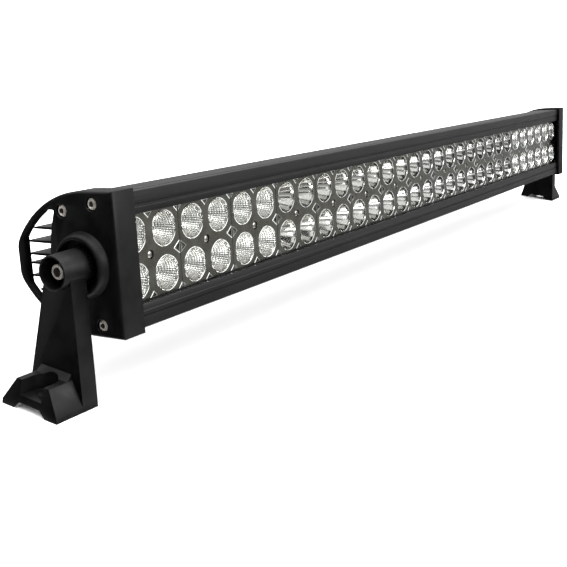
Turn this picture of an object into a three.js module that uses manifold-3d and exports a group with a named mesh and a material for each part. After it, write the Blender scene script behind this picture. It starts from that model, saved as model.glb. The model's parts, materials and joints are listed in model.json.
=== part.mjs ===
// A two-row LED light bar on two swivel brackets, modelled in millimetres with +Z up.
// +X runs along the bar, the lit side faces -Y, and the bar stands on the toes of its two brackets.
import * as THREE from "three";
import { mergeVertices } from "three/addons/utils/BufferGeometryUtils.js";
import { ConvexGeometry } from "three/addons/geometries/ConvexGeometry.js";
import Module from "manifold-3d";

const wasm = await Module();
wasm.setup();

// ---- Driving dimensions -------------------------------------------------------------------

// Optics: thirty columns of cups in two rows, moulded four cups to a module.
const CUP_PITCH = 26;
const MODULE_COUNT = 15;
const MODULE_PITCH = 2 * CUP_PITCH;
const MODULE_GAP = 0.4;
const MODULE_HEIGHT = 49.2;
const CUP_RIM_RADIUS = 11.2;
const CUP_BASE_RADIUS = 4;
const CUP_WALL = 0.8;
const CUP_SIDES = 8;
const PLATE_THICKNESS = 1.6;

// Housing: every y below is measured back from the pivot axis, and every z up from it.
const BAR_LENGTH = 800;
const CAP_DEPTH = 17.7;
const CAP_PLATE = 4.2;
const CAP_HALF_HEIGHT = 39.8;
const CAP_FRONT = -23.9;
const CAP_BACK = 50.9;
const SKIRT = 1.4;
const SKIRT_BACK = 4;
const CROWN_RADIUS = 64;
const CROWN_START = -3.5;
const RIM_WIDTH = 3.5;
const BACK_RIM_WIDTH = 6.6;
const WINDOW_TOP = 29.2;
const WINDOW_FRONT = 18.2;
const BODY_FRONT = -21.5;
const BODY_BACK = 16.5;
const BODY_INSET = 1.7;
const FIN_HEIGHTS = [2.6, 9.9, 17.7];
const FIN_THICKNESS = 1.3;
const FIN_INSET = 3;
const CLEAR = 0.3;
const GASKET_THICKNESS = 1;

// The opening in front of the optics, and the layers behind it.
const SLOT_HALF_HEIGHT = 27.3;
const CAVITY_HALF_HEIGHT = 25.5;
const OPENING_HALF_HEIGHT = 24.9;
const LENS_FRONT = -18.7;
const LENS_THICKNESS = 2;
const SEAL_THICKNESS = 1;
const SEAL_WIDTH = 1.6;
const PLATE_FRONT = -16.4;
const BOARD_FRONT = 2.5;
const BOARD_THICKNESS = 1.6;
const SPREADER_FRONT = 4.4;
const SPREADER_BACK = 7.6;
const CHAMBER_BACK = 13.9;

// End caps: four screws, and a boss with a recess for the bracket's toothed hub.
const CAP_SCREWS = [
  [-9.3, 33],
  [12.9, 28.8],
  [-9.3, -33],
  [12.9, -28.8],
];
const BOSS_BASE_RADIUS = 18.3;
const BOSS_RIM_RADIUS = 15.6;
const BOSS_HEIGHT = 5.5;
const RECESS_RADIUS = 14.4;
const TOOTH_COUNT = 18;
const TOOTH_HEIGHT = 0.9;

// Brackets: a hub on the pivot bolt, a leg that widens downwards, and a foot of two toes.
const TILT = THREE.MathUtils.degToRad(9);
const PIVOT_HEIGHT = 73.8;
const HUB_INNER = 402.4;
const HUB_OUTER = 423.5;
const HUB_RADIUS = 9.6;
const COLLAR_RADIUS = 10.7;
const COLLAR_WIDTH = 3.4;
const LEG_INNER = 408;
const LEG_OUTER = 419.2;
const LEG_TOP_HALF = 8.9;
const FOOT_HALF = 20.3;
const FOOT_TIP = 438.8;
const FOOT_SOLE = 3;
const FOOT_TOP = 16;
const FOOT_TOP_HALF = 11.6;
const FOOT_TOP_TIP = 436.2;
const CHANNEL_HALF = 7.5;
const CHANNEL_CENTRE = 428.5;
const WEB_TOP = 8;
const WEB_BOTTOM = 4;
const ARCH_HALF = 11.3;
const FOOT_BOLT_RADIUS = 4.2;
const FOOT_BOLT_X = 427.5;

// Pivot bolt, an M5 cap screw in the hub's recess.
const BOLT_RADIUS = 2.5;
const BOLT_HEAD_RADIUS = 4.25;
const BOLT_HEAD_TOP = 419.6;
const BOLT_HEAD_HEIGHT = 5;
const BOLT_END = 393;
const WASHER_RADIUS = 5;
const HUB_FLOOR = 413;
const HUB_RECESS_RADIUS = 8.3;

const halfLength = BAR_LENGTH / 2;
const plateInner = halfLength - CAP_PLATE;
const bodyHalfLength = plateInner - GASKET_THICKNESS - 2 * CLEAR;
const crownCentreZ = CAP_HALF_HEIGHT - CROWN_RADIUS;

// ---- Materials ----------------------------------------------------------------------------

function finish(colour, roughness, metalness) {
  return { color: colour, roughness, metalness };
}
const POWDER_COAT = finish(0x1b1b1d, 0.55, 0.3);
const ANODISED = finish(0x222224, 0.5, 0.5);
const CHROME = finish(0xd8d8d8, 0.12, 1);
const STEEL = finish(0xb9b9bb, 0.3, 1);
const CLEAR_LENS = finish(0xe8eef0, 0.05, 0);
const RUBBER = finish(0x101010, 0.9, 0);
const BOARD = finish(0xf1f1ec, 0.5, 0);
const PLASTIC = finish(0x151515, 0.6, 0);

// ---- Solid modelling helpers --------------------------------------------------------------

// A closed geometry as a manifold solid.
function solid(geometry) {
  const bare = geometry.index ? geometry.toNonIndexed() : geometry.clone();
  bare.deleteAttribute("normal");
  bare.deleteAttribute("uv");
  const merged = mergeVertices(bare, 1e-4);
  return new wasm.Manifold(
    new wasm.Mesh({
      numProp: 3,
      vertProperties: merged.attributes.position.array,
      triVerts: new Uint32Array(merged.index.array),
    }),
  );
}

// A manifold solid as a geometry with its own normals.
function geometryOf(made) {
  const mesh = made.getMesh();
  const geometry = new THREE.BufferGeometry();
  const positions = new Float32Array(mesh.numVert * 3);
  for (let i = 0; i < mesh.numVert; i++) {
    positions.set(mesh.vertProperties.subarray(i * mesh.numProp, i * mesh.numProp + 3), i * 3);
  }
  geometry.setAttribute("position", new THREE.BufferAttribute(positions, 3));
  geometry.setIndex(new THREE.BufferAttribute(mesh.triVerts, 1));
  geometry.computeVertexNormals();
  return geometry;
}

function joined(pieces) {
  return pieces.reduce((all, piece) => all.add(piece));
}

// A box between two corners.
function block(x0, x1, y0, y1, z0, z1) {
  const box = new THREE.BoxGeometry(x1 - x0, y1 - y0, z1 - z0);
  box.translate((x0 + x1) / 2, (y0 + y1) / 2, (z0 + z1) / 2);
  return solid(box);
}

// A profile drawn in the Y-Z plane, run along X from x0 to x1.
const alongX = new THREE.Matrix4().makeBasis(
  new THREE.Vector3(0, 1, 0),
  new THREE.Vector3(0, 0, 1),
  new THREE.Vector3(1, 0, 0),
);
function runAlongX(shape, x0, x1, curveSegments = 8) {
  const run = new THREE.ExtrudeGeometry(shape, { depth: x1 - x0, bevelEnabled: false, curveSegments });
  run.applyMatrix4(alongX);
  run.translate(x0, 0, 0);
  return solid(run);
}

// A turned piece about an axis along X: the profile lists [x, radius] pairs.
function turned(profile, y, z, sides) {
  const points = profile.map(([x, radius]) => new THREE.Vector2(radius, x));
  const lathe = new THREE.LatheGeometry(points, sides);
  lathe.rotateZ(-Math.PI / 2);
  lathe.translate(0, y, z);
  const made = solid(lathe);
  return made.volume() < 0 ? solid(flipped(lathe)) : made;
}

function flipped(geometry) {
  const turnedOver = geometry.toNonIndexed();
  const array = turnedOver.attributes.position.array;
  for (let i = 0; i < array.length; i += 9) {
    for (let k = 0; k < 3; k++) {
      const kept = array[i + k];
      array[i + k] = array[i + 3 + k];
      array[i + 3 + k] = kept;
    }
  }
  return turnedOver;
}

function rod(x0, x1, radius, y, z, sides) {
  return turned([[x0, 0], [x0, radius], [x1, radius], [x1, 0]], y, z, sides);
}

// A turned piece about an axis along Y, the direction the optics and the rear fittings face.
function turnedAlongY(profile, x, z, sides) {
  const points = profile.map(([y, radius]) => new THREE.Vector2(radius, y));
  const lathe = new THREE.LatheGeometry(points, sides);
  lathe.translate(x, 0, z);
  const made = solid(lathe);
  return made.volume() < 0 ? solid(flipped(lathe)) : made;
}

function pinAlongY(y0, y1, radius, x, z, sides) {
  return turnedAlongY([[y0, 0], [y0, radius], [y1, radius], [y1, 0]], x, z, sides);
}

function node(name, made, look) {
  const mesh = new THREE.Mesh(geometryOf(made), new THREE.MeshStandardMaterial(look));
  mesh.name = name;
  return mesh;
}

// The same solid at the other end of the bar.
function mirrored(made) {
  const geometry = geometryOf(made);
  geometry.scale(-1, 1, 1);
  return solid(flipped(geometry));
}

// ---- Housing profile ----------------------------------------------------------------------

// The D-shaped end outline: flat front, level top and bottom, a crowned shoulder and a flat back.
function endOutline(inset, front, backInset = inset, sides = 7) {
  const radius = CROWN_RADIUS - inset;
  const back = CAP_BACK - backInset;
  const reach = Math.asin((back - CROWN_START) / radius);
  const shape = new THREE.Shape();
  const top = [];
  for (let i = 0; i <= sides; i++) {
    const angle = (reach * i) / sides;
    top.push([CROWN_START + radius * Math.sin(angle), crownCentreZ + radius * Math.cos(angle)]);
  }
  shape.moveTo(front, -(CAP_HALF_HEIGHT - inset));
  top.forEach(([y, z]) => shape.lineTo(y, -z));
  top.reverse().forEach(([y, z]) => shape.lineTo(y, z));
  shape.lineTo(front, CAP_HALF_HEIGHT - inset);
  shape.closePath();
  return shape;
}

// The window in the end plate that shows the fins' ends: its edge keeps a rim inside the outline.
function windowCutter(x0, x1) {
  const rim = runAlongX(endOutline(RIM_WIDTH, BODY_FRONT, BACK_RIM_WIDTH), x0, x1);
  const side = new THREE.Shape();
  side.moveTo(WINDOW_FRONT, -WINDOW_TOP);
  side.lineTo(CAP_BACK, -WINDOW_TOP);
  side.lineTo(CAP_BACK, WINDOW_TOP);
  side.lineTo(WINDOW_FRONT, WINDOW_TOP);
  side.quadraticCurveTo(WINDOW_FRONT + 12, 0, WINDOW_FRONT, -WINDOW_TOP);
  return rim.intersect(runAlongX(side, x0, x1, 6));
}

// ---- Housing pieces -----------------------------------------------------------------------

const gland = { x: 300, radius: 7, bore: 4 };
const vent = { x: 336, radius: 4.2 };

function housingExtrusion() {
  const L = bodyHalfLength;
  const frontHalf = CAP_HALF_HEIGHT - BODY_INSET;
  const envelope = runAlongX(endOutline(BODY_INSET, BODY_FRONT), -L, L);
  let body = envelope.intersect(block(-L, L, BODY_FRONT - 1, BODY_BACK, -50, 50));
  const finEnvelope = runAlongX(endOutline(FIN_INSET, BODY_FRONT), -L, L);
  const fins = [];
  for (const height of FIN_HEIGHTS) {
    for (const z of [-height, height]) {
      fins.push(block(-L, L, BODY_BACK - 1, 60, z - FIN_THICKNESS / 2, z + FIN_THICKNESS / 2));
    }
  }
  let fan = joined(fins).intersect(finEnvelope);
  fan = fan.subtract(block(gland.x - 14, vent.x + 12, BODY_BACK, 60, -15, 15));
  body = body.add(fan);

  const run = [-L - 1, L + 1];
  const cutters = [
    block(...run, BODY_FRONT - 1, LENS_FRONT, -OPENING_HALF_HEIGHT, OPENING_HALF_HEIGHT),
    block(...run, LENS_FRONT - CLEAR, -14.8, -SLOT_HALF_HEIGHT, SLOT_HALF_HEIGHT),
    block(...run, -15, SPREADER_FRONT, -CAVITY_HALF_HEIGHT, CAVITY_HALF_HEIGHT),
    block(...run, SPREADER_BACK, CHAMBER_BACK, -20, 20),
  ];
  // The lip round the opening slopes in towards the lens.
  const lip = new THREE.Shape();
  lip.moveTo(BODY_FRONT - 1, -26.8);
  lip.lineTo(BODY_FRONT - 1, 26.8);
  lip.lineTo(BODY_FRONT + 1.6, 24);
  lip.lineTo(BODY_FRONT + 1.6, -24);
  lip.closePath();
  cutters.push(runAlongX(lip, ...run));
  for (const side of [-1, 1]) {
    const band = [side * 29.8, side * 31.6].sort((a, b) => a - b);
    cutters.push(block(...run, BODY_FRONT - 1, BODY_FRONT + 1, ...band));
    const groove = [side * (frontHalf - 0.8), side * (frontHalf + 1)].sort((a, b) => a - b);
    cutters.push(block(...run, BODY_FRONT + 2.4, BODY_FRONT + 3.6, ...groove));
    const duct = [side * 29.6, side * 35.4].sort((a, b) => a - b);
    cutters.push(block(...run, -4.5, 8, ...duct));
  }
  for (let i = 0; i < MODULE_COUNT; i++) {
    cutters.push(pinAlongY(SPREADER_FRONT - 1, SPREADER_BACK + 1, 1.6, moduleX(i), 0, 6));
  }
  for (const end of [-1, 1]) {
    for (const [y, z] of CAP_SCREWS) {
      const port = [end * (L - 14), end * (L + 1)].sort((a, b) => a - b);
      cutters.push(rod(...port, 2.1, y, z, 8));
    }
  }
  cutters.push(pinAlongY(CHAMBER_BACK - 1, 30, gland.radius + CLEAR, gland.x, 0, 12));
  cutters.push(pinAlongY(CHAMBER_BACK - 1, 30, vent.radius + CLEAR, vent.x, 0, 12));
  return body.subtract(joined(cutters));
}

// The right-hand cap: end plate with window, skirt over the extrusion, boss and its recess.
function endCap() {
  const plate = runAlongX(endOutline(0, CAP_FRONT), plateInner, halfLength - 1.6);
  const face = taperedFace();
  const shell = runAlongX(endOutline(0, CAP_FRONT), halfLength - CAP_DEPTH, plateInner + 1)
    .intersect(block(300, 500, CAP_FRONT - 1, SKIRT_BACK, -60, 60))
    .subtract(runAlongX(endOutline(SKIRT, BODY_FRONT - CLEAR), 300, plateInner));
  const boss = turned(
    [
      [plateInner - 3.4, 0],
      [plateInner - 3.4, 4.4],
      [plateInner + 1, 4.4],
      [plateInner + 1, BOSS_BASE_RADIUS],
      [halfLength, BOSS_BASE_RADIUS],
      [halfLength + BOSS_HEIGHT - 0.8, BOSS_RIM_RADIUS + 0.5],
      [halfLength + BOSS_HEIGHT, BOSS_RIM_RADIUS - 0.5],
      [halfLength + BOSS_HEIGHT, 0],
    ],
    0,
    0,
    24,
  );
  let cap = joined([plate, face, shell, boss]);
  const recessFloor = halfLength + 0.6;
  cap = cap.subtract(rod(recessFloor, 420, RECESS_RADIUS, 0, 0, 24));
  cap = cap.add(toothedRing(recessFloor - 1, recessFloor + TOOTH_HEIGHT, 6.4, COLLAR_RADIUS));
  cap = cap.subtract(rod(BOLT_END - 0.4, 420, BOLT_RADIUS + CLEAR, 0, 0, 8));
  cap = cap.subtract(windowCutter(plateInner - 2, halfLength + 2));
  for (const [y, z] of CAP_SCREWS) {
    cap = cap.subtract(rod(plateInner - 2, 420, 2.3, y, z, 8));
    cap = cap.subtract(rod(halfLength - 2.3, 420, 3.7, y, z, 10));
  }
  return cap;
}

// The outer skin of the end plate, with its edge bevelled.
function taperedFace() {
  const wide = endOutline(0, CAP_FRONT).getPoints();
  const narrow = endOutline(1.5, CAP_FRONT + 1.5).getPoints();
  const points = [];
  for (const p of wide) {
    points.push(new THREE.Vector3(halfLength - 2.2, p.x, p.y));
    points.push(new THREE.Vector3(halfLength - 1.5, p.x, p.y));
  }
  for (const p of narrow) points.push(new THREE.Vector3(halfLength, p.x, p.y));
  return solid(new ConvexGeometry(points));
}

// A ring whose outer face is cut into radial teeth.
function toothedRing(x0, x1, innerRadius, outerRadius) {
  const shape = new THREE.Shape();
  for (let i = 0; i < TOOTH_COUNT * 2; i++) {
    const angle = (Math.PI * i) / TOOTH_COUNT;
    const radius = i % 2 === 0 ? outerRadius : outerRadius - 1.2;
    const y = radius * Math.cos(angle);
    const z = radius * Math.sin(angle);
    if (i === 0) shape.moveTo(y, z);
    else shape.lineTo(y, z);
  }
  shape.closePath();
  return runAlongX(shape, x0, x1).subtract(rod(x1 - TOOTH_HEIGHT, x1 + 1, innerRadius, 0, 0, 12));
}

// The gasket between the end plate and the extrusion's walls.
function capGasket() {
  const x0 = plateInner - CLEAR - GASKET_THICKNESS;
  const x1 = plateInner - CLEAR;
  let gasket = runAlongX(endOutline(BODY_INSET + 0.6, BODY_FRONT + 0.6), x0, x1);
  gasket = gasket.intersect(block(300, 500, -60, BODY_BACK - 0.6, -60, 60));
  gasket = gasket.subtract(block(300, 500, -19, SPREADER_FRONT, -24, 24));
  for (const [y, z] of CAP_SCREWS) gasket = gasket.subtract(rod(300, 500, 2.3, y, z, 8));
  return gasket;
}

function capScrew([y, z]) {
  const seat = halfLength - 2;
  const head = turned(
    [[seat, 0], [seat, 3.3], [seat + 1.3, 3.1], [seat + 1.8, 2.5], [seat + 1.8, 0]],
    y,
    z,
    10,
  );
  const shank = rod(seat - 15, seat + 0.5, 1.6, y, z, 6);
  const socket = rod(seat + 0.5, seat + 3, 1.4, y, z, 6);
  return head.add(shank).subtract(socket);
}

function moduleX(i) {
  return (i - (MODULE_COUNT - 1) / 2) * MODULE_PITCH;
}

// The centres of a module's four cups.
function cupCentres(x) {
  const half = CUP_PITCH / 2;
  return [[x - half, -half], [x + half, -half], [x - half, half], [x + half, half]];
}

// Four cups, a front plate and a screw post, moulded as one.
function reflectorModule(x) {
  const half = (MODULE_PITCH - MODULE_GAP) / 2;
  const back = BOARD_FRONT - 0.6;
  const front = PLATE_FRONT;
  const tall = MODULE_HEIGHT / 2;
  const pieces = [block(x - half, x + half, front, front + PLATE_THICKNESS, -tall, tall)];
  const bores = [];
  for (const [cx, cz] of cupCentres(x)) {
    const outside = [[front + 0.5, 0], [front + 0.5, CUP_RIM_RADIUS + CUP_WALL]];
    outside.push([back, CUP_BASE_RADIUS + CUP_WALL], [back, 0]);
    pieces.push(turnedAlongY(outside, cx, cz, CUP_SIDES));
    const slope = (CUP_RIM_RADIUS - CUP_BASE_RADIUS) / (back - front);
    const inside = [[front - 1, 0], [front - 1, CUP_RIM_RADIUS + slope]];
    inside.push([back + 1, CUP_BASE_RADIUS - slope], [back + 1, 0]);
    bores.push(turnedAlongY(inside, cx, cz, CUP_SIDES));
  }
  pieces.push(pinAlongY(front + 0.5, back, 3.2, x, 0, 6));
  bores.push(pinAlongY(front - 1, back + 1, 1.6, x, 0, 6));
  bores.push(pinAlongY(front - 1, front + 1.8, 2.7, x, 0, 6));
  return joined(pieces).subtract(joined(bores));
}

function moduleScrew(x) {
  const seat = PLATE_FRONT + 1.5;
  const head = turnedAlongY([[seat - 1.3, 0], [seat - 1.3, 1.6], [seat, 2.2], [seat, 0]], x, 0, 8);
  const shank = pinAlongY(seat - 0.5, SPREADER_BACK - 0.3, 1.1, x, 0, 5);
  return head.add(shank);
}

// A board that carries the emitters of several modules, with an emitter under every cup.
function ledBoard(first, count) {
  const x0 = moduleX(first) - MODULE_PITCH / 2 + 0.5;
  const x1 = moduleX(first + count - 1) + MODULE_PITCH / 2 - 0.5;
  const pieces = [block(x0, x1, BOARD_FRONT, BOARD_FRONT + BOARD_THICKNESS, -23.5, 23.5)];
  const holes = [];
  for (let i = first; i < first + count; i++) {
    for (const [cx, cz] of cupCentres(moduleX(i))) {
      pieces.push(block(cx - 1.8, cx + 1.8, BOARD_FRONT - 1.4, BOARD_FRONT + 0.5, cz - 1.8, cz + 1.8));
    }
    holes.push(pinAlongY(BOARD_FRONT - 1, BOARD_FRONT + 3, 1.6, moduleX(i), 0, 6));
  }
  return joined(pieces).subtract(joined(holes));
}

// The frame of rubber behind the lens.
function lensSeal() {
  const front = LENS_FRONT + LENS_THICKNESS + CLEAR;
  const L = bodyHalfLength - 0.8;
  const tall = SLOT_HALF_HEIGHT - CLEAR;
  const outer = block(-L, L, front, front + SEAL_THICKNESS, -tall, tall);
  const inner = [-L + SEAL_WIDTH, L - SEAL_WIDTH, front - 1, front + 3];
  return outer.subtract(block(...inner, -(tall - SEAL_WIDTH), tall - SEAL_WIDTH));
}

// The constant-current driver, lying in the rear chamber between the module screws' ends.
function driverBoard() {
  const back = CHAMBER_BACK - 0.4;
  const board = block(160, 285, back - 1.6, back, -16, 16);
  const parts = [
    block(168, 184, back - 4.4, back - 1, -9, 7),
    block(196, 206, back - 3.8, back - 1, 2, 12),
    block(216, 226, back - 3.4, back - 1, -12, -4),
    block(240, 252, back - 4.2, back - 1, -6, 6),
  ];
  return joined([board, ...parts]);
}

function cableGland() {
  const seat = BODY_BACK + CLEAR;
  const flange = pinAlongY(seat, seat + 5, 9.8, gland.x, 0, 6);
  const stub = pinAlongY(CHAMBER_BACK + 0.4, seat + 9, gland.radius, gland.x, 0, 12);
  const clawed = pinAlongY(seat + 8, seat + 14, 5.6, gland.x, 0, 12);
  return joined([flange, stub, clawed]).subtract(pinAlongY(0, 60, gland.bore, gland.x, 0, 12));
}

function cableGlandNut() {
  const seat = BODY_BACK + CLEAR + 5 + CLEAR;
  const outside = [[seat, 0], [seat, 9.6], [seat + 8, 9.6], [seat + 13, 6.4], [seat + 13, 0]];
  const nut = turnedAlongY(outside, gland.x, 0, 12);
  const bore = [[seat - 1, 0], [seat - 1, 7.4], [seat + 9.6, 7.4], [seat + 9.6, 4.4]];
  bore.push([seat + 14, 4.4], [seat + 14, 0]);
  return nut.subtract(turnedAlongY(bore, gland.x, 0, 12));
}

function breatherVent() {
  const seat = BODY_BACK + CLEAR;
  const head = turnedAlongY(
    [[seat, 0], [seat, 7.2], [seat + 3, 7.2], [seat + 4.5, 5.4], [seat + 4.5, 0]],
    vent.x,
    0,
    12,
  );
  const stem = pinAlongY(CHAMBER_BACK + 0.4, seat + 1, vent.radius, vent.x, 0, 12);
  return head.add(stem).subtract(pinAlongY(0, seat + 3.2, 1.6, vent.x, 0, 8));
}

function pivotBolt() {
  const under = BOLT_HEAD_TOP - BOLT_HEAD_HEIGHT;
  const head = turned(
    [
      [under, 0],
      [under, BOLT_HEAD_RADIUS],
      [BOLT_HEAD_TOP - 0.5, BOLT_HEAD_RADIUS],
      [BOLT_HEAD_TOP, BOLT_HEAD_RADIUS - 0.6],
      [BOLT_HEAD_TOP, 0],
    ],
    0,
    0,
    16,
  );
  const shank = rod(BOLT_END, under + 1, BOLT_RADIUS, 0, 0, 12);
  return head.add(shank).subtract(rod(BOLT_HEAD_TOP - 2.8, BOLT_HEAD_TOP + 1, 2.2, 0, 0, 6));
}

function pivotWasher() {
  const x0 = HUB_FLOOR + CLEAR;
  const x1 = x0 + 1;
  return rod(x0, x1, WASHER_RADIUS, 0, 0, 20).subtract(rod(x0 - 1, x1 + 1, 2.8, 0, 0, 12));
}

// ---- Bracket ------------------------------------------------------------------------------

// The right-hand bracket in its own frame: the sole is at z 0 and the pivot axis above it.
function bracket() {
  const legShape = new THREE.Shape();
  legShape.moveTo(-FOOT_HALF, 0);
  legShape.lineTo(FOOT_HALF, 0);
  legShape.lineTo(LEG_TOP_HALF, PIVOT_HEIGHT);
  legShape.absarc(0, PIVOT_HEIGHT, LEG_TOP_HALF, 0, Math.PI, false);
  legShape.closePath();
  const leg = runAlongX(legShape, LEG_INNER, LEG_OUTER, 8);

  const hub = turned(
    [
      [HUB_INNER + TOOTH_HEIGHT, 0],
      [HUB_INNER + TOOTH_HEIGHT, COLLAR_RADIUS - 0.4],
      [HUB_INNER + COLLAR_WIDTH, COLLAR_RADIUS - 0.4],
      [HUB_INNER + COLLAR_WIDTH + 0.6, HUB_RADIUS + 0.5],
      [HUB_OUTER - 0.6, HUB_RADIUS],
      [HUB_OUTER, HUB_RADIUS - 0.5],
      [HUB_OUTER, 0],
    ],
    0,
    PIVOT_HEIGHT,
    24,
  );
  const teeth = mirroredTeeth();

  const sole = [];
  for (const z of [0, FOOT_SOLE]) {
    for (const y of [-FOOT_HALF, FOOT_HALF]) {
      sole.push(new THREE.Vector3(LEG_INNER, y, z), new THREE.Vector3(FOOT_TIP, y, z));
    }
  }
  for (const y of [-FOOT_TOP_HALF, FOOT_TOP_HALF]) {
    sole.push(new THREE.Vector3(LEG_INNER, y, FOOT_TOP));
    sole.push(new THREE.Vector3(FOOT_TOP_TIP, y, FOOT_TOP));
    sole.push(new THREE.Vector3(LEG_OUTER, y, FOOT_TOP + 2));
  }
  const foot = solid(new ConvexGeometry(sole));

  let made = joined([leg, hub, teeth, foot]);
  made = made.subtract(rod(HUB_FLOOR, 430, HUB_RECESS_RADIUS, 0, PIVOT_HEIGHT, 20));
  made = made.subtract(rod(390, 430, BOLT_RADIUS + CLEAR, 0, PIVOT_HEIGHT, 12));

  // The channel that the foot's bolt and its spanner go in, open at the tip.
  const end = new THREE.CylinderGeometry(CHANNEL_HALF, CHANNEL_HALF, 20, 16);
  end.rotateX(Math.PI / 2);
  end.translate(CHANNEL_CENTRE, 0, WEB_TOP + 10);
  const channel = solid(end).add(
    block(CHANNEL_CENTRE, 450, -CHANNEL_HALF, CHANNEL_HALF, WEB_TOP, WEB_TOP + 20),
  );
  const boltHole = new THREE.CylinderGeometry(FOOT_BOLT_RADIUS, FOOT_BOLT_RADIUS, 30, 16);
  boltHole.rotateX(Math.PI / 2);
  boltHole.translate(FOOT_BOLT_X, 0, 0);
  const arch = new THREE.Shape();
  arch.moveTo(-ARCH_HALF, -1);
  arch.lineTo(ARCH_HALF, -1);
  arch.lineTo(ARCH_HALF, 0);
  arch.lineTo(CHANNEL_HALF + 0.5, WEB_BOTTOM);
  arch.lineTo(-CHANNEL_HALF - 0.5, WEB_BOTTOM);
  arch.lineTo(-ARCH_HALF, 0);
  arch.closePath();
  return made
    .subtract(channel)
    .subtract(solid(boltHole))
    .subtract(runAlongX(arch, 400, 450));
}

// The hub's face teeth: a crown of short blocks that stands off the cap's own crown.
function mirroredTeeth() {
  const crown = toothedRing(0, 2, 6.4, COLLAR_RADIUS).intersect(rod(-1, 3, 20, 0, 0, 8));
  const turnedRound = geometryOf(crown);
  turnedRound.rotateZ(Math.PI);
  turnedRound.translate(HUB_INNER + 2, 0, PIVOT_HEIGHT);
  return solid(turnedRound);
}

// ---- Assembly -----------------------------------------------------------------------------

const lightBar = new THREE.Group();
lightBar.rotation.x = -TILT;
lightBar.position.z = PIVOT_HEIGHT;
lightBar.add(node("housing_extrusion", housingExtrusion(), ANODISED));

const lensHalf = bodyHalfLength - 0.8;
const lensTall = SLOT_HALF_HEIGHT - CLEAR;
const lens = block(-lensHalf, lensHalf, LENS_FRONT, LENS_FRONT + LENS_THICKNESS, -lensTall, lensTall);
lightBar.add(node("lens", lens, CLEAR_LENS));
lightBar.add(node("lens_seal", lensSeal(), RUBBER));

for (let i = 0; i < MODULE_COUNT; i++) {
  const number = String(i + 1).padStart(2, "0");
  lightBar.add(node("reflector_module_" + number, reflectorModule(moduleX(i)), CHROME));
  lightBar.add(node("reflector_screw_" + number, moduleScrew(moduleX(i)), STEEL));
}
["left", "centre", "right"].forEach((place, i) => {
  lightBar.add(node("led_board_" + place, ledBoard(i * 5, 5), BOARD));
});
lightBar.add(node("driver_board", driverBoard(), BOARD));
lightBar.add(node("cable_gland", cableGland(), PLASTIC));
lightBar.add(node("cable_gland_nut", cableGlandNut(), PLASTIC));
lightBar.add(node("breather_vent", breatherVent(), PLASTIC));

// Pieces that both ends have: the right-hand solid, and its mirror image on the left.
const endPieces = [
  ["end_cap", endCap(), POWDER_COAT],
  ["cap_gasket", capGasket(), RUBBER],
  ["pivot_bolt", pivotBolt(), STEEL],
  ["pivot_washer", pivotWasher(), STEEL],
];
CAP_SCREWS.forEach((place, i) => endPieces.push(["cap_screw_" + (i + 1), capScrew(place), STEEL]));
for (const [name, made, look] of endPieces) {
  lightBar.add(node("right_" + name, made, look));
  lightBar.add(node("left_" + name, mirrored(made), look));
}

const assembly = new THREE.Group();
assembly.add(lightBar);
const arm = bracket();
assembly.add(node("right_bracket", arm, POWDER_COAT));
assembly.add(node("left_bracket", mirrored(arm), POWDER_COAT));

// The origin is under the middle of the whole object's box.
const extent = new THREE.Box3().setFromObject(assembly, true);
assembly.position.y = -(extent.min.y + extent.max.y) / 2;
assembly.position.z = -extent.min.z;

export default assembly;
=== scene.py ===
# %% [markdown]
# # A two-row LED light bar on swivel brackets
# The engineering model of the bar comes first: it fixes every size and every joint.
# The looks are then built round it, piece by piece, in the same frame and in metres.

# %% Load the engineering model
import json
import math

import bmesh
import bpy
from mathutils import Matrix, Vector
from mathutils.geometry import tessellate_polygon


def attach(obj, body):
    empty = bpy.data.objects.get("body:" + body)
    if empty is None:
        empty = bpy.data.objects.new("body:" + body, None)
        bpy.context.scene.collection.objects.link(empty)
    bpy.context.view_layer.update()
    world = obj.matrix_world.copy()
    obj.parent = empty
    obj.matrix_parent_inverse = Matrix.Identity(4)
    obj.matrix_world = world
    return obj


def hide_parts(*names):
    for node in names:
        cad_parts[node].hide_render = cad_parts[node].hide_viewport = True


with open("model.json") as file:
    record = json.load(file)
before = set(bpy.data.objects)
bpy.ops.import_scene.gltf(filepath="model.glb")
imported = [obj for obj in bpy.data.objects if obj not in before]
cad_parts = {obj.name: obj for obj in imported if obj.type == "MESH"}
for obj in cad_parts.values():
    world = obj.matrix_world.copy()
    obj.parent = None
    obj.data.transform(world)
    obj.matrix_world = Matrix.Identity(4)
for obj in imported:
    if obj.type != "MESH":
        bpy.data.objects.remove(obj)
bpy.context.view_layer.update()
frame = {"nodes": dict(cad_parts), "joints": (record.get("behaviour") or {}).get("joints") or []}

# %% [markdown]
# The bar is pitched up on its brackets, so its own pieces are easiest to draw level.
# They are drawn in millimetres with the pivot axis at the origin, then tilted into place.
# The other way would be to draw them tilted, and every number would be harder to read.

# %% The bar's own frame
MM = 0.001
TILT = math.radians(9)
pivots = {j["name"].split("_")[0]: Vector(j["pos_m"]) for j in frame["joints"]}
axis_height = pivots["left"].z
axis_y = pivots["left"].y
LEVEL = Matrix.Translation((0, axis_y, axis_height)) @ Matrix.Rotation(-TILT, 4, "X")
BAR = LEVEL @ Matrix.Scale(MM, 4)
GROUND = Matrix.Translation((0, axis_y, 0)) @ Matrix.Scale(MM, 4)
FLIP = Matrix.Scale(-1, 4, (1, 0, 0))
print("pivot axis", round(axis_height * 1000, 1), "mm above the feet")

# %% [markdown]
# The camera stands low off the left end and looks along the bar, which gives the strong taper.
# A portrait lens keeps that taper gentle. The camera rolls a little, so the bar climbs to the right.

# %% Camera
CAMERA_AZIMUTH = math.radians(-58.893)
CAMERA_ELEVATION = math.radians(17.17)
CAMERA_ROLL = math.radians(4.828)
CAMERA_PLACE = Vector((-0.75594, axis_y - 0.34052, 0.22144))


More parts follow.
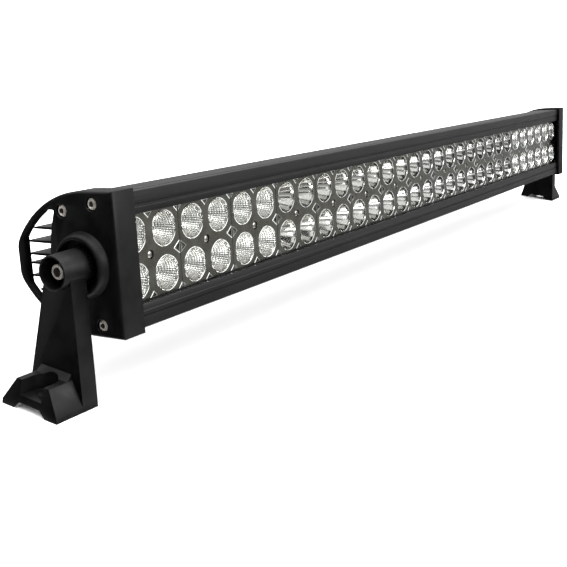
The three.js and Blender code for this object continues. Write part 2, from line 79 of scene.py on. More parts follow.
def camera_axes(azimuth, elevation, roll):
    flat = math.cos(elevation)
    back = Vector((math.sin(azimuth) * flat, -math.cos(azimuth) * flat, math.sin(elevation)))
    level = Vector((math.cos(azimuth), math.sin(azimuth), 0))
    above = back.cross(level)
    right = level * math.cos(roll) + above * math.sin(roll)
    return right, back.cross(right), back


camera_data = bpy.data.cameras.new("camera")
camera_data.lens = 59.5
camera_data.sensor_width = 36
camera_data.clip_start = 0.01
camera = bpy.data.objects.new("camera", camera_data)
bpy.context.scene.collection.objects.link(camera)
turn = Matrix(camera_axes(CAMERA_AZIMUTH, CAMERA_ELEVATION, CAMERA_ROLL)).transposed().to_4x4()
camera.matrix_world = Matrix.Translation(CAMERA_PLACE) @ turn
bpy.context.scene.camera = camera
print("camera at", [round(c, 3) for c in CAMERA_PLACE])

# %% [markdown]
# ## Finishes
# Real finishes are never one flat colour. Each one here starts from a shader and gets a noise in its
# roughness and, where the real one has it, in its colour and surface height, at the real grain's size.

# %% A helper for node materials
def new_finish(name, colour, metallic, roughness):
    """A plain finish. The colour and roughness are middle values, which vary() may spread out later."""
    finish = bpy.data.materials.new(name)
    finish.use_nodes = True
    shader = finish.node_tree.nodes["Principled BSDF"]
    shader.inputs["Base Color"].default_value = (*colour, 1)
    shader.inputs["Metallic"].default_value = metallic
    shader.inputs["Roughness"].default_value = roughness
    return finish, shader


def add_noise(finish, size_mm, detail, stretch=(1, 1, 1)):
    """A noise with patches of about that size, in the piece's own coordinates."""
    nodes, links = finish.node_tree.nodes, finish.node_tree.links
    place = nodes.new("ShaderNodeTexCoord")
    mapping = nodes.new("ShaderNodeMapping")
    mapping.inputs["Scale"].default_value = stretch
    noise = nodes.new("ShaderNodeTexNoise")
    noise.inputs["Scale"].default_value = 1 / (size_mm * MM)
    noise.inputs["Detail"].default_value = detail
    links.new(place.outputs["Object"], mapping.inputs["Vector"])
    links.new(mapping.outputs["Vector"], noise.inputs["Vector"])
    return noise


def add_grain(finish, shader, size_mm, height_mm, stretch=(1, 1, 1)):
    """Fine bumps. The noise that raises them is handed back, so that it can run the gloss too."""
    nodes, links = finish.node_tree.nodes, finish.node_tree.links
    noise = add_noise(finish, size_mm, 3, stretch)
    bump = nodes.new("ShaderNodeBump")
    bump.inputs["Distance"].default_value = height_mm * MM
    bump.inputs["Strength"].default_value = 1
    links.new(noise.outputs["Fac"], bump.inputs["Height"])
    links.new(bump.outputs["Normal"], shader.inputs["Normal"])
    return noise


def add_clouds(finish, size_mm, stretch=(1, 1, 1)):
    """A broad, soft noise for slow changes of colour and gloss."""
    return add_noise(finish, size_mm, 4, stretch)


def vary(finish, shader, socket, source, low, high, at=(0.35, 0.65)):
    """Runs a socket between two values, or two colours, by a noise."""
    nodes, links = finish.node_tree.nodes, finish.node_tree.links
    ramp = nodes.new("ShaderNodeValToRGB")
    for stop, place, value in zip(ramp.color_ramp.elements, at, (low, high)):
        stop.position = place
        stop.color = (*value, 1) if isinstance(value, tuple) else (value, value, value, 1)
    links.new(source.outputs["Fac"], ramp.inputs["Fac"])
    links.new(ramp.outputs["Color"], shader.inputs[socket])


print("one millimetre of grain is", MM, "m in the model")

# %% [markdown]
# The castings have a fine black powder coat: dull, a little pebbled, and greyer where it is thin.
# The extrusion has the same black in a smoother coat, with faint lines along its length from the die.

# %% Black coats
cast_coat, shader = new_finish("cast_coat", (0.001, 0.001, 0.0013), 0, 0.5)
add_grain(cast_coat, shader, 0.55, 0.035)
clouds = add_clouds(cast_coat, 9)
vary(cast_coat, shader, "Base Color", clouds, (0.0006, 0.0006, 0.0009), (0.0014, 0.0014, 0.0018))
vary(cast_coat, shader, "Roughness", clouds, 0.42, 0.56)
shader.inputs["Specular IOR Level"].default_value = 0.28

bar_coat, shader = new_finish("bar_coat", (0.002, 0.002, 0.0023), 0, 0.42)
die_lines = add_grain(bar_coat, shader, 0.5, 0.012, stretch=(0.02, 1, 1))
clouds = add_clouds(bar_coat, 14, stretch=(0.3, 1, 1))
vary(bar_coat, shader, "Base Color", clouds, (0.0012, 0.0012, 0.0014), (0.003, 0.003, 0.0032))
shader.inputs["Specular IOR Level"].default_value = 0.42
vary(bar_coat, shader, "Roughness", die_lines, 0.36, 0.5)
print("coats:", cast_coat.name, "and", bar_coat.name)

# %% [markdown]
# The reflectors are plastic with a film of aluminium on them. Inside the cups the film is a clean mirror,
# whiter in the flood cups than in the spot cups. The plate between the cups is duller and grey-brown.
# One flat metal would do for each, but a soft noise in the roughness keeps a mirror from looking perfect.
# The screws are bright steel or yellowish zinc, and the dark socket finish is painted shade at the bottom of their
# sockets.

# %% Metal films and steel
films = {}
for kind, colour in (("flood", (0.98, 0.97, 0.95)), ("spot", (0.7, 0.69, 0.67))):
    films[kind], shader = new_finish(kind + "_film", colour, 1, 0.06)
    clouds = add_clouds(films[kind], 4)
    vary(films[kind], shader, "Roughness", clouds, 0.04, 0.1)

plate_film, shader = new_finish("plate_film", (0.17, 0.16, 0.135), 1, 0.3)
add_grain(plate_film, shader, 0.8, 0.01)
clouds = add_clouds(plate_film, 10)
vary(plate_film, shader, "Base Color", clouds, (0.15, 0.14, 0.115), (0.21, 0.2, 0.17))
vary(plate_film, shader, "Roughness", clouds, 0.24, 0.36)

bright_steel, shader = new_finish("bright_steel", (0.62, 0.6, 0.57), 1, 0.25)
grain = add_grain(bright_steel, shader, 0.3, 0.008)
vary(bright_steel, shader, "Roughness", grain, 0.18, 0.36)

# Painted shade: a dark finish for the faces deep in a screw's socket, where little light reaches.
painted_socket_shade, shader = new_finish("socket_shadow", (0.03, 0.028, 0.026), 0.4, 0.5)
grain = add_grain(painted_socket_shade, shader, 0.3, 0.01)
vary(painted_socket_shade, shader, "Roughness", grain, 0.45, 0.6)

zinc, shader = new_finish("zinc", (0.62, 0.58, 0.52), 0.8, 0.28)
grain = add_grain(zinc, shader, 0.3, 0.008)
vary(zinc, shader, "Roughness", grain, 0.22, 0.4)
print("films:", ", ".join(films), "and plate")

# %% [markdown]
# Small parts: black nylon for the gland and vent, matt rubber for the seals, white solder mask
# for the LED boards, and green laminate for the driver board. Each gets a grain of its own size.

# %% Plastics, rubber and boards
nylon, shader = new_finish("nylon", (0.02, 0.02, 0.02), 0, 0.5)
grain = add_grain(nylon, shader, 0.4, 0.02)
vary(nylon, shader, "Roughness", grain, 0.42, 0.6)

seal_rubber, shader = new_finish("seal_rubber", (0.012, 0.012, 0.012), 0, 0.8)
grain = add_grain(seal_rubber, shader, 0.6, 0.03)
vary(seal_rubber, shader, "Roughness", grain, 0.7, 0.9)

solder_mask, shader = new_finish("solder_mask", (0.8, 0.8, 0.77), 0, 0.35)
grain = add_grain(solder_mask, shader, 1.2, 0.01)
vary(solder_mask, shader, "Base Color", grain, (0.72, 0.72, 0.68), (0.84, 0.84, 0.8))

laminate, shader = new_finish("laminate", (0.02, 0.12, 0.05), 0, 0.3)
grain = add_grain(laminate, shader, 1.5, 0.03)
vary(laminate, shader, "Base Color", grain, (0.015, 0.09, 0.035), (0.03, 0.15, 0.06))
print("small parts:", nylon.name, seal_rubber.name, solder_mask.name, laminate.name)

# %% [markdown]
# The cover is clear polycarbonate, thin and flat, so it hardly bends what is behind it.
# A real glass shader would keep the lamps' light out of the cups, so the cover lets light
# straight through and adds a mirror reflection that grows towards grazing angles. Only its outer
# side reflects: light doesn't bend in it, so the inner side would wrongly turn into a full mirror.

# %% Clear cover
clear_cover = bpy.data.materials.new("clear_cover")
clear_cover.use_nodes = True
tree = clear_cover.node_tree
tree.nodes.clear()
out = tree.nodes.new("ShaderNodeOutputMaterial")
blend = tree.nodes.new("ShaderNodeMixShader")
through = tree.nodes.new("ShaderNodeBsdfTransparent")
through.inputs["Color"].default_value = (0.97, 0.98, 0.98, 1)
shine = tree.nodes.new("ShaderNodeBsdfGlossy")
shine.inputs["Roughness"].default_value = 0.02
shine.inputs["Color"].default_value = (0.5, 0.5, 0.5, 1)
grazing = tree.nodes.new("ShaderNodeFresnel")
grazing.inputs["IOR"].default_value = 1.3
which_side = tree.nodes.new("ShaderNodeNewGeometry")
only_front = tree.nodes.new("ShaderNodeMath")
only_front.operation = "MULTIPLY_ADD"
tree.links.new(which_side.outputs["Backfacing"], only_front.inputs[0])
only_front.inputs[1].default_value = -1
only_front.inputs[2].default_value = 1
share = tree.nodes.new("ShaderNodeMath")
share.operation = "MULTIPLY"
tree.links.new(grazing.outputs["Fac"], share.inputs[0])
tree.links.new(only_front.outputs["Value"], share.inputs[1])
tree.links.new(share.outputs["Value"], blend.inputs["Fac"])
tree.links.new(through.outputs["BSDF"], blend.inputs[1])
tree.links.new(shine.outputs["BSDF"], blend.inputs[2])
tree.links.new(blend.outputs["Shader"], out.inputs["Surface"])
print(len(bpy.data.materials), "finishes")

# %% [markdown]
# ## Ways of making a piece
# Nearly everything here is a drawn section pushed along a line, a profile turned about an axis, or a skin
# over a stack of loops. All three are closed meshes, so they can be cut and joined like solid metal.

# %% Meshes from sections and profiles
def finished_mesh(name, bm):
    bmesh.ops.recalc_face_normals(bm, faces=bm.faces)
    mesh = bpy.data.meshes.new(name)
    bm.to_mesh(mesh)
    bm.free()
    return mesh


def pushed(name, loops, x0, x1):
    """A section of (y, z) loops, the first outside and the rest holes, run along X."""
    bm = bmesh.new()
    flat = [[Vector((0, y, z)) for y, z in loop] for loop in loops]
    near = [[bm.verts.new((x0, p.y, p.z)) for p in loop] for loop in flat]
    far = [[bm.verts.new((x1, p.y, p.z)) for p in loop] for loop in flat]
    for a, b in zip(near, far):
        for i in range(len(a)):
            k = (i + 1) % len(a)
            bm.faces.new((a[i], a[k], b[k], b[i]))
    ends = [v for loop in near for v in loop], [v for loop in far for v in loop]
    for tri in tessellate_polygon([[Vector((p.y, p.z, 0)) for p in loop] for loop in flat]):
        for end in ends:
            bm.faces.new([end[i] for i in tri])
    return finished_mesh(name, bm)


def turned(name, profile, sides, axis="X", centre=(0, 0, 0), start=0.0):
    """A profile of (along, radius) pairs turned about an axis through the centre."""
    bm = bmesh.new()
    rings = []
    for along, radius in profile:
        if radius < 1e-9:
            rings.append([bm.verts.new((along, 0, 0))])
            continue
        angles = [start + 2 * math.pi * i / sides for i in range(sides)]
        rings.append([bm.verts.new((along, radius * math.cos(a), radius * math.sin(a))) for a in angles])
    for a, b in zip(rings, rings[1:]):
        for i in range(sides):
            k = (i + 1) % sides
            if len(a) == 1:
                bm.faces.new((a[0], b[k], b[i]))
            elif len(b) == 1:
                bm.faces.new((a[i], a[k], b[0]))
            else:
                bm.faces.new((a[i], a[k], b[k], b[i]))
    aim = {"X": Matrix.Identity(4),
           "Y": Matrix.Rotation(math.pi / 2, 4, "Z"),
           "Z": Matrix.Rotation(-math.pi / 2, 4, "Y")}
    bmesh.ops.transform(bm, matrix=Matrix.Translation(centre) @ aim[axis], verts=bm.verts)
    return finished_mesh(name, bm)


def stacked(name, rows):
    """A closed body through a stack of loops of (x, y, z) points, all with the same number of points."""
    bm = bmesh.new()
    made = [[bm.verts.new(point) for point in row] for row in rows]
    for a, b in zip(made, made[1:]):
        for i in range(len(a)):
            k = (i + 1) % len(a)
            bm.faces.new((a[i], a[k], b[k], b[i]))
    bm.faces.new(made[0])
    bm.faces.new(made[-1])
    return finished_mesh(name, bm)


def rounded(points, radius, steps=3):
    """A loop of (y, z) corners with each corner rounded, as far as its sides allow."""
    made = []
    count = len(points)
    for i in range(count):
        before, here, after = (Vector(points[k % count]) for k in (i - 1, i, i + 1))
        into, out_of = (before - here), (after - here)
        cut = min(radius, into.length * 0.45, out_of.length * 0.45)
        a, b = here + into.normalized() * cut, here + out_of.normalized() * cut
        for s in range(steps + 1):
            t = s / steps
            made.append(tuple(a * (1 - t) ** 2 + here * 2 * t * (1 - t) + b * t ** 2))
    return made


print(len(rounded([(0, 0), (40, 0), (40, 20), (0, 20)], 5)), "points in a rounded rectangle")

# %% [markdown]
# Cuts and joints use Blender's Boolean modifier, as a workshop would use a mill and a weld.
# The edges are then broken with the Bevel modifier, because no cast or extruded edge is truly sharp
# and it is the small round that catches the light.

# %% Cutting, joining and easing edges
def loose(mesh):
    piece = bpy.data.objects.new(mesh.name, mesh)
    bpy.context.scene.collection.objects.link(piece)
    return piece


def shaped(piece):
    """Makes the piece's modifiers real."""
    bpy.context.view_layer.update()
    made = bpy.data.meshes.new_from_object(piece.evaluated_get(bpy.context.evaluated_depsgraph_get()))
    piece.modifiers.clear()
    piece.data = made


def combined(piece, mesh, how):
    other = loose(mesh)
    cut = piece.modifiers.new("cut", "BOOLEAN")
    cut.operation = how
    cut.solver = "EXACT"
    cut.object = other
    shaped(piece)
    bpy.data.objects.remove(other)


def eased(piece, width_mm, segments=2, angle=35):
    bm = bmesh.new()
    bm.from_mesh(piece.data)
    bmesh.ops.remove_doubles(bm, verts=bm.verts, dist=1e-4)
    bmesh.ops.dissolve_limit(bm, angle_limit=math.radians(0.5), verts=bm.verts, edges=bm.edges)
    bm.to_mesh(piece.data)
    bm.free()
    ease = piece.modifiers.new("ease", "BEVEL")
    ease.limit_method = "ANGLE"
    ease.angle_limit = math.radians(angle)
    ease.width = width_mm
    ease.segments = segments
    ease.use_clamp_overlap = True
    shaped(piece)


def placed(piece, name, frame_matrix, finishes, body, stands_for, mirror=False, smooth=35):
    """Puts a drawn piece in its place, gives it its finish, and fixes it to the body it rides on."""
    mesh = piece.data.copy() if mirror else piece.data
    if mirror:
        mesh.transform(FLIP)
        mesh.flip_normals()
        piece = loose(mesh)
    mesh.transform(frame_matrix)
    mesh.materials.clear()
    for finish in finishes:
        mesh.materials.append(finish)
    mesh.shade_smooth()
    mesh.set_sharp_from_angle(angle=math.radians(smooth))
    piece.name = mesh.name = name
    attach(piece, body)
    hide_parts(*stands_for)
    return piece


print("Boolean solver: EXACT")

# %% [markdown]
# ## The housing
# The housing is one aluminium extrusion: a deep front channel for the optics, a level top and bottom,
# a crowned shoulder and thin fins at the back. Drawing its true section gives the bezel's grooves
# and the fins in one go. Modelling each rib as a box would leave seams that the real bar doesn't have.

# %% The end outline, shared by the housing and its caps
CROWN_RADIUS, CROWN_START, HALF_HEIGHT, BACK, FRONT = 64, -3.5, 39.8, 50.9, -23.9


def crown(inset, back, steps=20):
    """Points along the crowned shoulder, from its start to the back, at a distance inside it."""
    radius = CROWN_RADIUS - inset
    reach = math.asin((back - CROWN_START) / radius)
    middle = HALF_HEIGHT - CROWN_RADIUS
    return [(CROWN_START + radius * math.sin(reach * i / steps), middle + radius * math.cos(reach * i / steps))
            for i in range(steps + 1)]


def both_halves(top):
    """A closed loop from its upper half, listed from front to back."""
    return top + [(y, -z) for y, z in reversed(top)]


print("the outline is", round(BACK - FRONT, 1), "mm deep and", round(2 * HALF_HEIGHT, 1), "mm high")

# %% [markdown]
# Only the upper half of the section is drawn, from the optics' channel round the bezel and over the top
# to the fins, and then mirrored. The chamber and the two ducts are hollow all the way along.

# %% The housing's section
BODY_FRONT, BODY_BACK, BODY_INSET = -21.5, 16.5, 1.7
BODY_TOP = HALF_HEIGHT - BODY_INSET
FINS = [(17.7, 41.6), (9.9, 47.6), (2.6, 47.6)]
FIN_ROOT, FIN_TIP, FIN_FILLET = 0.95, 0.55, 0.9

bezel = [(-20.8, 24.9), (-21.1, 25.6), (-21.1, 28.5), (-21.3, 28.8),
         (-21.3, 30.2), (-20.5, 30.5), (-20.5, 31.5), (BODY_FRONT, 31.8)]
front_edge = rounded([(BODY_FRONT, 33), (BODY_FRONT, BODY_TOP), (-15, BODY_TOP)], 1.1)[4:8]
top_groove = [(-19.1, BODY_TOP), (-19, BODY_TOP - 0.75), (-18, BODY_TOP - 0.75), (-17.9, BODY_TOP)]
shoulder = crown(BODY_INSET, BODY_BACK)
channel = [(4.4, 25.5), (-14.8, 25.5), (-14.8, 27.3), (-19, 27.3), (-19, 24.9)]
fins = []
for level, tip in FINS:
    fins += [(BODY_BACK, level + FIN_ROOT + FIN_FILLET), (BODY_BACK + 1, level + FIN_ROOT),
             (tip - 0.4, level + FIN_TIP), (tip, level + FIN_TIP * 0.5)]
    fins += [(tip, level - FIN_TIP * 0.5), (tip - 0.4, level - FIN_TIP),
             (BODY_BACK + 1, level - FIN_ROOT), (BODY_BACK, level - FIN_ROOT - FIN_FILLET)]
section = both_halves(channel + bezel + front_edge + top_groove + shoulder[1:] + fins)
chamber = rounded([(7.6, 20), (13.9, 20), (13.9, -20), (7.6, -20)], 1)
ducts = [rounded([(-4.5, side * 29.6), (-4.5, side * 35.4), (8, side * 35.4), (8, side * 29.6)], 0.8)
         for side in (-1, 1)]
BODY_HALF_LENGTH = 394.2
housing = loose(pushed("housing", [section, chamber, *ducts], -BODY_HALF_LENGTH, BODY_HALF_LENGTH))
print(len(section), "corners in the housing's section")

# %% [markdown]
# The cable leaves through the back, between the fins, so the fins are milled away there.
# Two round holes take the gland and the pressure vent.

# %% Mill the pocket for the gland and vent
GLAND_X, VENT_X = 300, 336
GLAND_HOLE, VENT_HOLE = 7.3, 4.5
POCKET_HALF, POCKET_FLOOR = 15, BODY_BACK + 0.02
pocket_loop = [(POCKET_FLOOR, -POCKET_HALF), (60, -POCKET_HALF), (60, POCKET_HALF), (POCKET_FLOOR, POCKET_HALF)]
combined(housing, pushed("pocket", [rounded(pocket_loop, 0.5)], GLAND_X - 14, VENT_X + 12), "DIFFERENCE")
for x, radius in ((GLAND_X, GLAND_HOLE), (VENT_X, VENT_HOLE)):
    hole = turned("hole", [(12, 0), (12, radius), (30, radius), (30, 0)], 32, "Y", (x, 0, 0))
    combined(housing, hole, "DIFFERENCE")
placed(housing, "housing", BAR, [bar_coat], "light_bar", ["housing_extrusion"], smooth=25)
print(len(housing.data.polygons), "faces in the housing")

# %% [markdown]
# ## The end caps
# Each cap is a casting: an end plate with a window that shows the fins, a skirt that hides the cut end
# of the extrusion, and a round boss that the bracket turns in. A stack of slightly shrinking outlines
# makes the soft outer edge, which a plain slab with a bevel would not give as evenly.

# %% The cap's plate and skirt
CAP_FACE, PLATE_BACK, SKIRT_END = 400, 395.8, 382.3
EDGE_ROUND, FRONT_ROUND = 1.9, 4.2


def cap_outline(inset, front_inset):
    back = BACK - inset
    top = [(FRONT + front_inset, HALF_HEIGHT - inset)] + crown(inset, back - 2)
    corner = top[-1]
    top += [(back - 0.8, corner[1] - 2.2), (back, corner[1] - 5)]
    return both_halves(top)


layers = [(PLATE_BACK, 0), (CAP_FACE - EDGE_ROUND, 0)]
for step in range(1, 6):
    angle = math.pi / 2 * step / 5
    layers.append((CAP_FACE - EDGE_ROUND + EDGE_ROUND * math.sin(angle), 1 - math.cos(angle)))
cap = loose(stacked("cap", [[(x, y, z) for y, z in cap_outline(EDGE_ROUND * shrink, FRONT_ROUND * shrink)]
                            for x, shrink in layers]))

SKIRT_WALL, SKIRT_STEP = 1.4, 4
skirt_top = [(FRONT, HALF_HEIGHT), crown(0, SKIRT_STEP)[-1], crown(SKIRT_WALL, SKIRT_STEP)[-1],
             (CROWN_START, HALF_HEIGHT - SKIRT_WALL), (-21.8, HALF_HEIGHT - SKIRT_WALL)]
skirt = pushed("skirt", [both_halves(skirt_top)], SKIRT_END, PLATE_BACK + 1)
combined(cap, skirt, "UNION")
print(len(cap.data.polygons), "faces in plate and skirt")

# %% [markdown]
# The boss has a raised rim with a soft shoulder, and a recess where the bracket's hub sits.
# The window follows the outline at an even rim width, and its front edge bows round the boss.

# %% Boss, recess, window and screw holes
boss_profile = [(392.5, 0), (392.5, 4.4), (397, 4.4), (397, 18.6), (400, 18.4), (402, 17.9), (403.8, 17.1),
                (404.9, 16.4), (405.4, 15.7), (405.5, 15.1), (405.3, 14.6), (404.8, 14.4), (400.6, 14.2), (400.6, 0)]
combined(cap, turned("boss", boss_profile, 72), "UNION")

WINDOW_FRONT, WINDOW_TOP, WINDOW_BACK, WINDOW_BOW = 18.2, 29.2, 44.3, 24
window_top = [(WINDOW_FRONT, WINDOW_TOP), (26, WINDOW_TOP)] + [p for p in crown(3.5, WINDOW_BACK) if p[0] > 27]
bow = [(WINDOW_FRONT + WINDOW_BOW * (t * (1 - t)), WINDOW_TOP - 2 * WINDOW_TOP * t)
       for t in (i / 16 for i in range(15, 0, -1))]
window = both_halves(window_top) + bow
combined(cap, pushed("window", [rounded(window, 1.4, 2)], 390, 410), "DIFFERENCE")

CAP_SCREWS = [(-9.3, 33), (12.9, 28.8), (-9.3, -33), (12.9, -28.8)]
seat_profile = [(390, 0), (390, 2.3), (397.7, 2.3), (397.7, 3.7), (399.6, 3.7), (400.3, 4.2), (405, 4.2), (405, 0)]
for y, z in CAP_SCREWS:
    combined(cap, turned("seat", seat_profile, 28, "X", (0, y, z)), "DIFFERENCE")
combined(cap, turned("bolt hole", [(390, 0), (390, 2.8), (410, 2.8), (410, 0)], 24), "DIFFERENCE")
eased(cap, 0.35, 2, 40)
print(len(cap.data.polygons), "faces in the finished cap")

# %% [markdown]
# A ring of teeth at the bottom of the boss meets a ring on the bracket's hub, so that the bar
# can't slip once the bolt is tight. Each ring is drawn as a toothed outline and pushed.

# %% Locking teeth
TEETH, TOOTH_ROOT, TOOTH_TIP, TOOTH_BORE = 36, 9.9, 10.7, 6.4


def tooth_ring(name, x0, x1):
    loop = []
    for i in range(TEETH):
        for share, radius in ((0, TOOTH_ROOT), (0.2, TOOTH_TIP), (0.5, TOOTH_TIP), (0.7, TOOTH_ROOT)):
            angle = 2 * math.pi * (i + share) / TEETH
            loop.append((radius * math.cos(angle), radius * math.sin(angle)))
    angles = [2 * math.pi * i / 48 for i in range(48)]
    return pushed(name, [loop, [(TOOTH_BORE * math.cos(a), TOOTH_BORE * math.sin(a)) for a in angles]], x0, x1)


combined(cap, tooth_ring("cap teeth", 400.2, 401.5), "UNION")
placed(cap, "left_cap", BAR, [cast_coat], "light_bar", ["left_end_cap"], mirror=True)
placed(cap, "right_cap", BAR, [cast_coat], "light_bar", ["right_end_cap"])
print("two end caps")

# %% [markdown]
# ## The brackets
# Each bracket is a casting too: a hub, a leg that widens downwards, and a forked foot.
# The leg is a pushed outline, the hub is turned, and the foot is a tapered block with a channel cut in it.

# %% Hub and leg
LEG_IN, LEG_OUT, HUB_OUT = 408, 419.2, 423.5
FOOT_HALF, LEG_TOP = 20.3, 8.9
pivot_z = axis_height * 1000
leg_loop = [(-FOOT_HALF, 0), (FOOT_HALF, 0)]
for angle in (math.pi * i / 20 for i in range(21)):
    leg_loop.append((LEG_TOP * math.cos(angle), pivot_z + LEG_TOP * math.sin(angle)))
bracket = loose(pushed("bracket", [leg_loop], LEG_IN, LEG_OUT))
RECESS_FLOOR, RECESS_RADIUS = 413, 8.3
hub_profile = [(403.3, 0), (403.3, 9.7), (405.4, 10.2), (406.2, 10.1), (412, 9.9), (422.9, 9.55), (423.3, 9.4),
               (HUB_OUT, 9.1), (HUB_OUT, 8.7), (423.1, 8.4), (RECESS_FLOOR, RECESS_RADIUS), (RECESS_FLOOR, 0)]
combined(bracket, turned("hub", hub_profile, 56, "X", (0, 0, pivot_z)), "UNION")
print(len(bracket.data.polygons), "faces in leg and hub")

# %% [markdown]
# The foot's sides lean in from a short upright sole to a narrow top. Four rows of corners describe it.
# A round-ended channel is cut in for the bolt, and an arch underneath leaves two toes to stand on.

# %% The forked foot
FOOT_TIP, SOLE, FOOT_TOP, TOP_HALF = 438.8, 3.0, 16.2, 11.8


def foot_row(z, tip, half):
    return [(LEG_IN + 1, -half, z), (tip, -half, z), (tip, half, z), (LEG_IN + 1, half, z)]


foot = stacked("foot", [foot_row(0, FOOT_TIP, FOOT_HALF - 0.01), foot_row(SOLE, FOOT_TIP - 0.1, FOOT_HALF - 0.4),
                        foot_row(FOOT_TOP, 436.2, TOP_HALF)])
combined(bracket, foot, "UNION")
wedge = stacked("wedge", [foot_row(12, 425, TOP_HALF - 0.3), foot_row(FOOT_TOP, 423, TOP_HALF - 0.3),
                          foot_row(FOOT_TOP + 3.2, LEG_OUT + 0.2, TOP_HALF - 0.8)])
combined(bracket, wedge, "UNION")

CHANNEL_HALF, CHANNEL_X, CHANNEL_DRAFT, WEB_TOP, WEB_BOTTOM = 7.5, 428.5, 1.08, 8, 4
channel_loop = []
for angle in (math.pi * i / 16 for i in range(17)):
    channel_loop.append((CHANNEL_X - CHANNEL_HALF * math.sin(angle), CHANNEL_HALF * math.cos(angle)))
channel_loop += [(450, -CHANNEL_HALF - 0.8), (450, CHANNEL_HALF + 0.8)]
low = [(x, y, WEB_TOP) for x, y in channel_loop]
high = [(CHANNEL_X + (x - CHANNEL_X) * CHANNEL_DRAFT, y * CHANNEL_DRAFT, WEB_TOP + 30) for x, y in channel_loop]
combined(bracket, stacked("channel", [low, high]), "DIFFERENCE")
foot_hole = turned("foot bolt hole", [(-5, 0), (-5, 4.2), (20, 4.2), (20, 0)], 32, "Z", (427.5, 0, 0))
combined(bracket, foot_hole, "DIFFERENCE")
arch = [(-11.3, -1), (11.3, -1), (11.3, 0), (8, WEB_BOTTOM - 0.6), (7.4, WEB_BOTTOM), (-7.4, WEB_BOTTOM),
        (-8, WEB_BOTTOM - 0.6), (-11.3, 0)]
combined(bracket, pushed("arch", [arch], 400, 450), "DIFFERENCE")
print(len(bracket.data.polygons), "faces with the foot")

# %% [markdown]
# The bolt goes through the hub. The leg's metal filled the hub's recess when the two were joined,
# so the recess is bored out again, or the bolt's head would sit in solid metal.

# %% Bore the hub, break the edges, add the teeth
pivot_hole = turned("pivot hole", [(400, 0), (400, 2.8), (430, 2.8), (430, 0)], 24, "X", (0, 0, pivot_z))
combined(bracket, pivot_hole, "DIFFERENCE")
recess = [(RECESS_FLOOR, 0), (RECESS_FLOOR, RECESS_RADIUS), (HUB_OUT + 1, 8.45), (HUB_OUT + 1, 0)]
combined(bracket, turned("hub recess", recess, 56, "X", (0, 0, pivot_z)), "DIFFERENCE")
eased(bracket, 0.6, 3, 28)
hub_teeth = tooth_ring("hub teeth", 402.4, 405.2)
hub_teeth.transform(Matrix.Translation((0, 0, pivot_z)))
combined(bracket, hub_teeth, "UNION")
print(len(bracket.data.polygons), "faces in a bracket")

# %% [markdown]
# The two brackets are mirror images of each other. Each rides on its own body, because each turns
# about the pivot by itself. They stand upright, so they use the ground's frame and not the tilted one.

# %% Put the brackets on their own bodies
placed(bracket, "left_arm", GROUND, [cast_coat], "left_bracket", ["left_bracket"], mirror=True)
placed(bracket, "right_arm", GROUND, [cast_coat], "right_bracket", ["right_bracket"])
print("two brackets")

# %% [markdown]
# ## The reflectors
# Fifteen mouldings stand side by side, each with four cups. The outer three at each end throw a flood:
# their cups are covered in small pillows. The nine in the middle throw a spot: their cups are smooth
# bowls of twelve long facets. One mesh of each kind is made and shared by all its mouldings.

# %% The shape of a cup
PLATE_FRONT, PLATE_THICK, CUP_BACK = -16.4, 1.6, 1.9
RIM, BASE, WALL, LIP = 10.1, 4.0, 0.8, 0.5
PITCH, MODULE, HALF_WIDE, HALF_TALL = 26, 52, 25.8, 24.6
CUP_DEPTH, BACK_FACE = CUP_BACK - PLATE_FRONT, PLATE_FRONT + PLATE_THICK
SIDES, FACETS = 48, 12
GROOVE_SHARE, PILLOW_LEAN, PILLOW_EDGE = 0.09, 2.0, 0.4
FILM, PLATE = 0, 1


def bowl_radius(depth):
    """The parabola that carries the rim's radius down to the base's."""
    return math.sqrt(BASE ** 2 + (RIM ** 2 - BASE ** 2) * max(CUP_DEPTH - depth, 0) / CUP_DEPTH)


def ring(bm, cx, cz, y, radius, facets=0):
    made = []
    for i in range(SIDES):
        angle = 2 * math.pi * (i + 0.5) / SIDES
        reach = radius
        if facets:
            half = math.pi / facets
            off = (angle + half) % (2 * half) - half
            reach = radius * math.cos(half) / math.cos(off) * 1.012
        made.append(bm.verts.new((cx + reach * math.cos(angle), y, cz + reach * math.sin(angle))))
    return made


def strip(bm, a, b, finish=FILM, smooth=True):
    for i in range(len(a)):
        k = (i + 1) % len(a)
        face = bm.faces.new((a[i], a[k], b[k], b[i]))
        face.material_index = finish
        face.smooth = smooth


def pillow_strip(bm, a, b, cx, cz, bulge):
    """A row of small raised cells between two rings: each has a mirror-bright pillow inside a groove with the dull
    plate finish, which is painted shade for the dark lines between cells.
    """
    for i in range(len(a)):
        k = (i + 1) % len(a)
        corners = (a[i], a[k], b[k], b[i])
        middle = sum((v.co for v in corners), Vector()) / 4
        inward = Vector((cx - middle.x, -PILLOW_LEAN, cz - middle.z)).normalized()
        inner = [bm.verts.new(v.co.lerp(middle, GROOVE_SHARE) + inward * bulge * PILLOW_EDGE) for v in corners]
        top = bm.verts.new(middle + inward * bulge)
        for c in range(4):
            # The grooves take the dull plate finish as painted shade between the cells.
            groove = bm.faces.new((corners[c], corners[(c + 1) % 4], inner[(c + 1) % 4], inner[c]))
            groove.material_index = PLATE
            bm.faces.new((inner[c], inner[(c + 1) % 4], top)).smooth = True


print("the cups are", round(CUP_DEPTH, 1), "mm deep and", round(2 * RIM, 1), "mm across")

# %% [markdown]
# Small diamonds stand between the cups. Each moulding carries half a diamond at either side, so that two
# neighbours make a whole one, and small triangles along its top, bottom and corners.
# Each is a loop in the plate with smaller loops inside it. The outer slope and the narrow crest have the
# bright film and catch the light; the inner slope and the sunk floor get the dull plate finish as painted shade.

# %% Diamonds in the plate
DIAMOND_REACH, DIAMOND_HALF, FRAME_CREST, FRAME_IN, FLOOR_IN, FLOOR_SUNK = 5.4, 4.0, 0.22, 0.5, 0.35, 0.6


